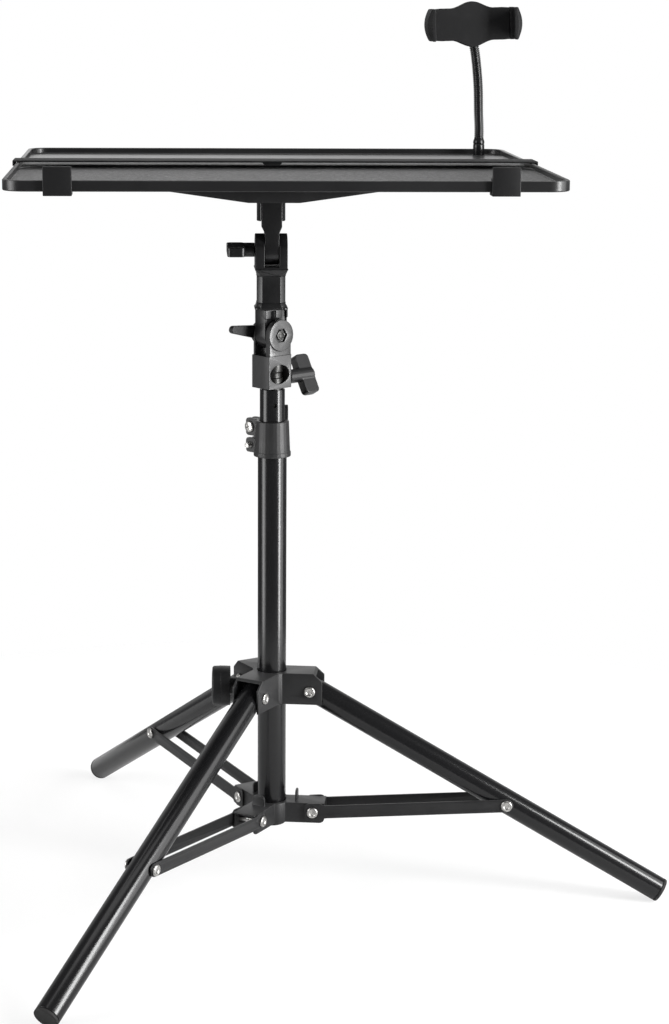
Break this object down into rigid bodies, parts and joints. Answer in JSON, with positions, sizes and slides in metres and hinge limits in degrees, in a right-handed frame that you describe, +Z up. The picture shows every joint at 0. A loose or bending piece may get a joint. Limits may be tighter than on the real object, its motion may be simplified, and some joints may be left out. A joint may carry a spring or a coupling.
{
  "type": "projector stand",
  "caption": "Folding tripod stand with a sliding leg collar, a telescoping mast, a tilting head, a rimmed tray with a cross bar and edge clips, and a gooseneck phone holder.",
  "frame": {"origin": "middle of the outline from above, at the height of the feet's lowest points", "axes": "+X along the tray's width to the phone holder's side, +Y from the tray's front edge with the clips to its back, +Z up the mast"},
  "size_m": [0.5002, 0.5422, 0.6865],
  "materials": {
    "bright_nickel": "bright nickel-plated steel",
    "foot_rubber": "black rubber",
    "gloss_black_paint": "gloss black painted tube",
    "grey_plastic": "dark grey satin casting",
    "matte_black_plastic": "matte black moulded plastic",
    "pebbled_tray": "finely pebbled black plastic",
    "satin_black_sheet": "satin black painted sheet metal"
  },
  "bodies": {
    "stand": {"lower_tube": "gloss_black_paint", "column_plug": "foot_rubber", "brace_hub": "satin_black_sheet", "hub_pin_a": "bright_nickel", "hub_pin_b": "bright_nickel", "hub_pin_c": "bright_nickel", "mast_clamp": "matte_black_plastic", "clamp_screw": "bright_nickel", "clamp_bolt": "bright_nickel"},
    "leg_collar": {"leg_collar": "satin_black_sheet", "leg_pin_a": "bright_nickel", "leg_pin_b": "bright_nickel", "leg_pin_c": "bright_nickel"},
    "collar_knob": {"collar_knob": "matte_black_plastic"},
    "clamp_lever": {"clamp_lever": "matte_black_plastic"},
    "mast": {"upper_tube": "gloss_black_paint", "mast_spigot": "bright_nickel"},
    "socket": {"socket_block": "grey_plastic", "tilt_bolt": "bright_nickel"},
    "socket_knob": {"socket_knob": "matte_black_plastic"},
    "tilt_lever": {"tilt_lever": "matte_black_plastic"},
    "knuckle": {"head_knuckle": "matte_black_plastic"},
    "fork": {"fork_body": "satin_black_sheet"},
    "fork_knob": {"fork_knob": "matte_black_plastic"},
    "tray_set": {"neck": "matte_black_plastic", "neck_sleeve": "grey_plastic", "tray_bracket": "satin_black_sheet", "bracket_screw_1": "bright_nickel", "bracket_screw_2": "bright_nickel", "bracket_screw_3": "bright_nickel", "bracket_screw_4": "bright_nickel", "tray": "pebbled_tray", "gooseneck_sleeve": "matte_black_plastic", "gooseneck_nut": "bright_nickel", "gooseneck": "satin_black_sheet"},
    "cross_bar": {"cross_bar": "matte_black_plastic"},
    "clip_left": {"clip_left": "matte_black_plastic"},
    "clip_right": {"clip_right": "matte_black_plastic"},
    "holder_arm": {"ball_arm": "matte_black_plastic"},
    "holder": {"holder_body": "matte_black_plastic"},
    "jaw_left": {"jaw_left": "matte_black_plastic"},
    "jaw_right": {"jaw_right": "matte_black_plastic"},
    "leg_a": {"leg_tube_a": "gloss_black_paint", "leg_foot_a": "foot_rubber"},
    "brace_a": {"brace_strap_a_left": "satin_black_sheet", "brace_strap_a_right": "satin_black_sheet", "brace_rivet_a_left": "bright_nickel", "brace_rivet_a_right": "bright_nickel"},
    "leg_b": {"leg_tube_b": "gloss_black_paint", "leg_foot_b": "foot_rubber"},
    "brace_b": {"brace_strap_b_left": "satin_black_sheet", "brace_strap_b_right": "satin_black_sheet", "brace_rivet_b_left": "bright_nickel", "brace_rivet_b_right": "bright_nickel"},
    "leg_c": {"leg_tube_c": "gloss_black_paint", "leg_foot_c": "foot_rubber"},
    "brace_c": {"brace_strap_c_left": "satin_black_sheet", "brace_strap_c_right": "satin_black_sheet", "brace_rivet_c_left": "bright_nickel", "brace_rivet_c_right": "bright_nickel"}
  },
  "joints": [
    {"name": "collar_slide", "type": "slide", "parent": "stand", "child": "leg_collar", "axis": [0, 0, 1], "range_m": [0, 0.16]},
    {"name": "collar_knob_turn", "type": "hinge", "parent": "leg_collar", "child": "collar_knob", "pos_m": [-0.0579, -0.00677, 0.16585], "axis": [-0.999, 0.0454, 0], "continuous": true},
    {"name": "leg_fold_a", "type": "hinge", "parent": "leg_collar", "child": "leg_a", "pos_m": [-0.07443, -0.03241, 0.16485], "axis": [0.8406, -0.5417, 0], "range_deg": [0, 24.92]},
    {"name": "brace_fold_a", "type": "hinge", "parent": "stand", "child": "brace_a", "pos_m": [-0.07589, -0.03468, 0.0665], "axis": [0.8406, -0.5417, 0], "range_deg": [-44.55, 0]},
    {"name": "leg_fold_b", "type": "hinge", "parent": "leg_collar", "child": "leg_b", "pos_m": [-0.02775, -0.01139, 0.16485], "axis": [0.1513, 0.9885, 0], "range_deg": [0, 24.92]},
    {"name": "brace_fold_b", "type": "hinge", "parent": "stand", "child": "brace_b", "pos_m": [-0.02509, -0.0118, 0.0665], "axis": [0.1513, 0.9885, 0], "range_deg": [-44.55, 0]},
    {"name": "leg_fold_c", "type": "hinge", "parent": "leg_collar", "child": "leg_c", "pos_m": [-0.07203, 0.02025, 0.16485], "axis": [-0.8862, -0.4633, 0], "range_deg": [0, 24.92]},
    {"name": "brace_fold_c", "type": "hinge", "parent": "stand", "child": "brace_c", "pos_m": [-0.07329, 0.02265, 0.0665], "axis": [-0.8862, -0.4633, 0], "range_deg": [-44.55, 0]},
    {"name": "clamp_lever_swing", "type": "hinge", "parent": "stand", "child": "clamp_lever", "pos_m": [-0.0579, 0.00983, 0.3585], "axis": [-1, 0, 0], "range_deg": [0, 105]},
    {"name": "mast_slide", "type": "slide", "parent": "stand", "child": "mast", "axis": [0, 0, 1], "range_m": [0, 0.2]},
    {"name": "head_pan", "type": "hinge", "parent": "mast", "child": "socket", "pos_m": [-0.0579, -0.00677, 0], "axis": [0, 0, 1], "continuous": true},
    {"name": "socket_knob_turn", "type": "hinge", "parent": "socket", "child": "socket_knob", "pos_m": [-0.0579, -0.00677, 0.4073], "axis": [0.7793, 0.6266, 0], "continuous": true},
    {"name": "tilt_lever_turn", "type": "hinge", "parent": "socket", "child": "tilt_lever", "pos_m": [-0.0579, -0.00677, 0.4416], "axis": [0.6266, -0.7793, 0], "range_deg": [-12, 25]},
    {"name": "lower_tilt", "type": "hinge", "parent": "socket", "child": "knuckle", "pos_m": [-0.0579, -0.00677, 0.4416], "axis": [0.6266, -0.7793, 0], "range_deg": [-45, 20]},
    {"name": "fork_swivel", "type": "hinge", "parent": "knuckle", "child": "fork", "pos_m": [-0.0579, -0.00677, 0], "axis": [0, 0, 1], "continuous": true},
    {"name": "fork_knob_turn", "type": "hinge", "parent": "fork", "child": "fork_knob", "pos_m": [-0.0579, -0.00677, 0.5052], "axis": [-1, 0, 0], "continuous": true},
    {"name": "upper_tilt", "type": "hinge", "parent": "fork", "child": "tray_set", "pos_m": [-0.0579, -0.00677, 0.5052], "axis": [1, 0, 0], "range_deg": [-45, 45]},
    {"name": "cross_bar_slide", "type": "slide", "parent": "tray_set", "child": "cross_bar", "axis": [0, 1, -0.008], "range_m": [-0.13, 0.095]},
    {"name": "clip_left_slide", "type": "slide", "parent": "tray_set", "child": "clip_left", "axis": [1, 0, 0], "range_m": [-0.01, 0.135]},
    {"name": "clip_right_slide", "type": "slide", "parent": "tray_set", "child": "clip_right", "axis": [1, 0, 0], "range_m": [-0.135, 0.016]},
    {"name": "holder_swivel", "type": "hinge", "parent": "tray_set", "child": "holder_arm", "pos_m": [0.11103, 0.17067, 0.65892], "axis": [-0.2588, 0.0078, 0.9659], "continuous": true},
    {"name": "holder_roll", "type": "hinge", "parent": "holder_arm", "child": "holder", "pos_m": [0.10849, 0.15994, 0.66847], "axis": [0, 1, -0.008], "continuous": true},
    {"name": "jaw_left_slide", "type": "slide", "parent": "holder", "child": "jaw_left", "axis": [-0.9995, -0.0003, -0.0332], "range_m": [0, 0.015]},
    {"name": "jaw_right_slide", "type": "slide", "parent": "holder", "child": "jaw_right", "axis": [0.9995, 0.0003, 0.0332], "range_m": [0, 0.015]}
  ],
  "couplings": [
    {"joint": "leg_fold_a", "follows": "collar_slide", "rad_per_m": 2.7177},
    {"joint": "brace_fold_a", "follows": "collar_slide", "rad_per_m": -4.859},
    {"joint": "leg_fold_b", "follows": "collar_slide", "rad_per_m": 2.7177},
    {"joint": "brace_fold_b", "follows": "collar_slide", "rad_per_m": -4.859},
    {"joint": "leg_fold_c", "follows": "collar_slide", "rad_per_m": 2.7177},
    {"joint": "brace_fold_c", "follows": "collar_slide", "rad_per_m": -4.859},
    {"joint": "jaw_right_slide", "follows": "jaw_left_slide", "ratio": 1}
  ]
}
